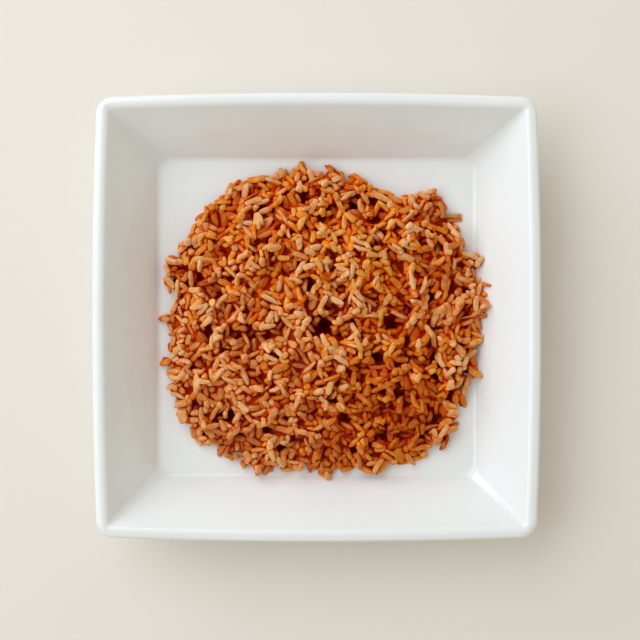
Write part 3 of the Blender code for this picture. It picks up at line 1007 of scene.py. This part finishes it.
def rice_skin_group():
    """The skin of cooked rice, with painted shade. Where it lies sheltered its colour is deeper
    and redder:
    the unshaded colour raised to a power, as light is lost on a longer way between the grains."""
    taken = {"Unshaded Colour": "Color", "Soak": "Float"}
    given_out = {"Colour": "Color", "Roughness": "Float", "Height": "Float"}
    group, given, result = new_group("rice_skin", taken, given_out)
    streaks, clouds = noise(group, *STREAKS), noise(group, *CLOUDS)
    sheltered, tone = attribute(group, "shelter"), attribute(group, "tone")
    # painted shade: sheltered places raise the colour to a higher power, deeper and redder
    shade_and_tone_power = combined(
        group, "ADD",
        given["Soak"],
        scaled(group, sheltered, *SIDE_SHADE_POWER),
        scaled(group, sheltered, *PIT_SHADE_POWER),
        scaled(group, clouds, *CLOUD_SOAK),
        scaled(group, tone, *TONE_POWER),
    )
    power = combined(group, "MAXIMUM", shade_and_tone_power, LEAST_POWER)
    deep = add_node(group, "ShaderNodeGamma", {"Color": given["Unshaded Colour"], "Gamma": power})
    # painted light and shade: the shelter darkens open skin and pits and lightens half-sheltered
    # skin
    shade = combined(
        group, "MULTIPLY",
        scaled(group, tone, *TONE_SHADE),
        scaled(group, streaks, *FLECK_SHADE),
        scaled(group, sheltered, *OPEN_SHADE),
        scaled(group, sheltered, *PIT_SHADE),
    )
    group.links.new(mixed(group, 1.0, deep.outputs[0], shade, "MULTIPLY"), result["Colour"])
    group.links.new(scaled(group, sheltered, *RICE_ROUGHNESS), result["Roughness"])
    group.links.new(streaks, result["Height"])
    return group


def rice_material(name, group, unshaded, power_and_gloss):
    """Cooked rice of one colour."""
    material, tree, shader = new_material(name)
    base_power, gloss = power_and_gloss
    skin = add_node(tree, "ShaderNodeGroup", {"Unshaded Colour": unshaded, "Soak": base_power}, node_tree=group)
    relief = {"Height": skin.outputs["Height"], **RICE_BUMP}
    wire(tree, shader, skin.outputs["Colour"], skin.outputs["Roughness"], relief)
    for key, value in RICE_SHADER.items():
        shader.inputs[key].default_value = value
    shader.inputs["Specular IOR Level"].default_value = gloss
    return material


def porcelain_material():
    """White glazed porcelain: a clear glaze that lies very slightly unevenly."""
    material, tree, shader = new_material("porcelain_glaze")
    waves, grain = noise(tree, *GLAZE_WAVES), noise(tree, *GLAZE_GRAIN)
    colour = mixed(tree, scaled(tree, waves, *GLAZE_SHARE), *GLAZE_COLOURS)
    roughness = scaled(tree, grain, *GLAZE_ROUGHNESS)
    wire(tree, shader, colour, roughness, {"Height": waves, **GLAZE_BUMP})
    shader.inputs["IOR"].default_value = GLAZE_IOR
    return material


# ---------------------------------------------------------------- the rice


def finish_rice(piece, material):
    """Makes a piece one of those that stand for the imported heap."""
    cover(piece, material)
    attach(piece, BODY)
    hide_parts("fried_rice")


def make_rice():
    """The heap: a core of soft rice, and one piece for each kind of grain."""
    rng = np.random.default_rng(SEED)
    places = np.arange(-REACH, REACH + CELL / 2, CELL)
    floor = dish_height(places[:, None], places[None, :])
    form, clumps, inside, outline = uneven_heap(rng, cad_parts["fried_rice"], places)
    grains, heights, soft = lay_rice(rng, places, form, clumps, inside, floor)
    cells = grid_cells(grains[:, 0], grains[:, 1])
    depths = grain_depths(grains, heights, floor)
    patches = field(rng, form.shape, KIND_PATCH)[cells]
    tones = grain_tones(rng, grains, depths, clumps)
    kinds = grain_kinds(rng, grains, depths, patches, clumps[cells])
    models = [model_grain(rng, number) for number in range(MODEL_COUNT)]
    looks = [grain_look(rng, tone) for tone in tones]
    group = rice_skin_group()
    core = make_core(soft, heights, floor, *outline)
    finish_rice(core, rice_material("soft_rice", group, SOFT_RICE, SOFT_SHADE_AND_GLOSS))
    for kind, unshaded in UNSHADED.items():
        laid = [(grains[number], looks[number]) for number in np.flatnonzero(kinds == kind)]
        piece = make_grains(kind + "_grains", laid, models, heights)
        finish_rice(piece, rice_material(kind + "_rice", group, unshaded, GRAIN_POWER_AND_GLOSS))


# ---------------------------------------------------------------- table, camera and light


def add_table():
    """The plain surface that the dish stands on."""
    bpy.ops.object.select_all(action="DESELECT")
    bpy.ops.mesh.primitive_plane_add(size=TABLE_SIDE)
    table = bpy.context.object
    table.name = "table"
    material, _, shader = new_material("plain_table")
    shader.inputs["Base Color"].default_value = TABLE_COLOUR
    shader.inputs["Roughness"].default_value = TABLE_ROUGHNESS
    cover(table, material)


def add_camera():
    """A camera that looks straight down on the dish."""
    bpy.ops.object.camera_add(location=CAMERA_PLACE, rotation=(0, 0, 0))
    camera = bpy.context.object
    camera.data.lens = CAMERA_LENS
    camera.data.sensor_width = CAMERA_SENSOR
    camera.data.clip_start = CAMERA_NEAREST
    bpy.context.scene.camera = camera


def add_window(name, azimuth, height, away, width, tall, power):
    """A soft rectangular light that faces the middle of the dish."""
    azimuth, height = math.radians(azimuth), math.radians(height)
    level = math.cos(height)
    aim = Vector((math.cos(azimuth) * level, math.sin(azimuth) * level, math.sin(height)))
    turn = aim.to_track_quat("Z", "Y").to_euler()
    bpy.ops.object.light_add(type="AREA", location=aim * away, rotation=turn)
    light = bpy.context.object
    light.name = name
    light.visible_camera = False
    light.data.shape = "RECTANGLE"
    light.data.size, light.data.size_y = width, tall
    light.data.energy = power
    light.data.color = LIGHT_COLOUR


def add_world():
    """Even light from all round."""
    world = bpy.data.worlds.new("studio")
    world.use_nodes = True
    background = world.node_tree.nodes["Background"]
    background.inputs["Color"].default_value = WORLD_COLOUR
    background.inputs["Strength"].default_value = WORLD_STRENGTH
    bpy.context.scene.world = world


def stage():
    """All that is round the object."""
    bpy.context.scene.view_settings.view_transform = "Standard"
    add_table()
    add_camera()
    for name, row in LIGHTS.items():
        add_window(name, *row)
    add_world()


def main():
    """Makes the dish, the rice and what is round them."""
    make_dish()
    make_rice()
    stage()
    bpy.context.view_layer.update()


main()
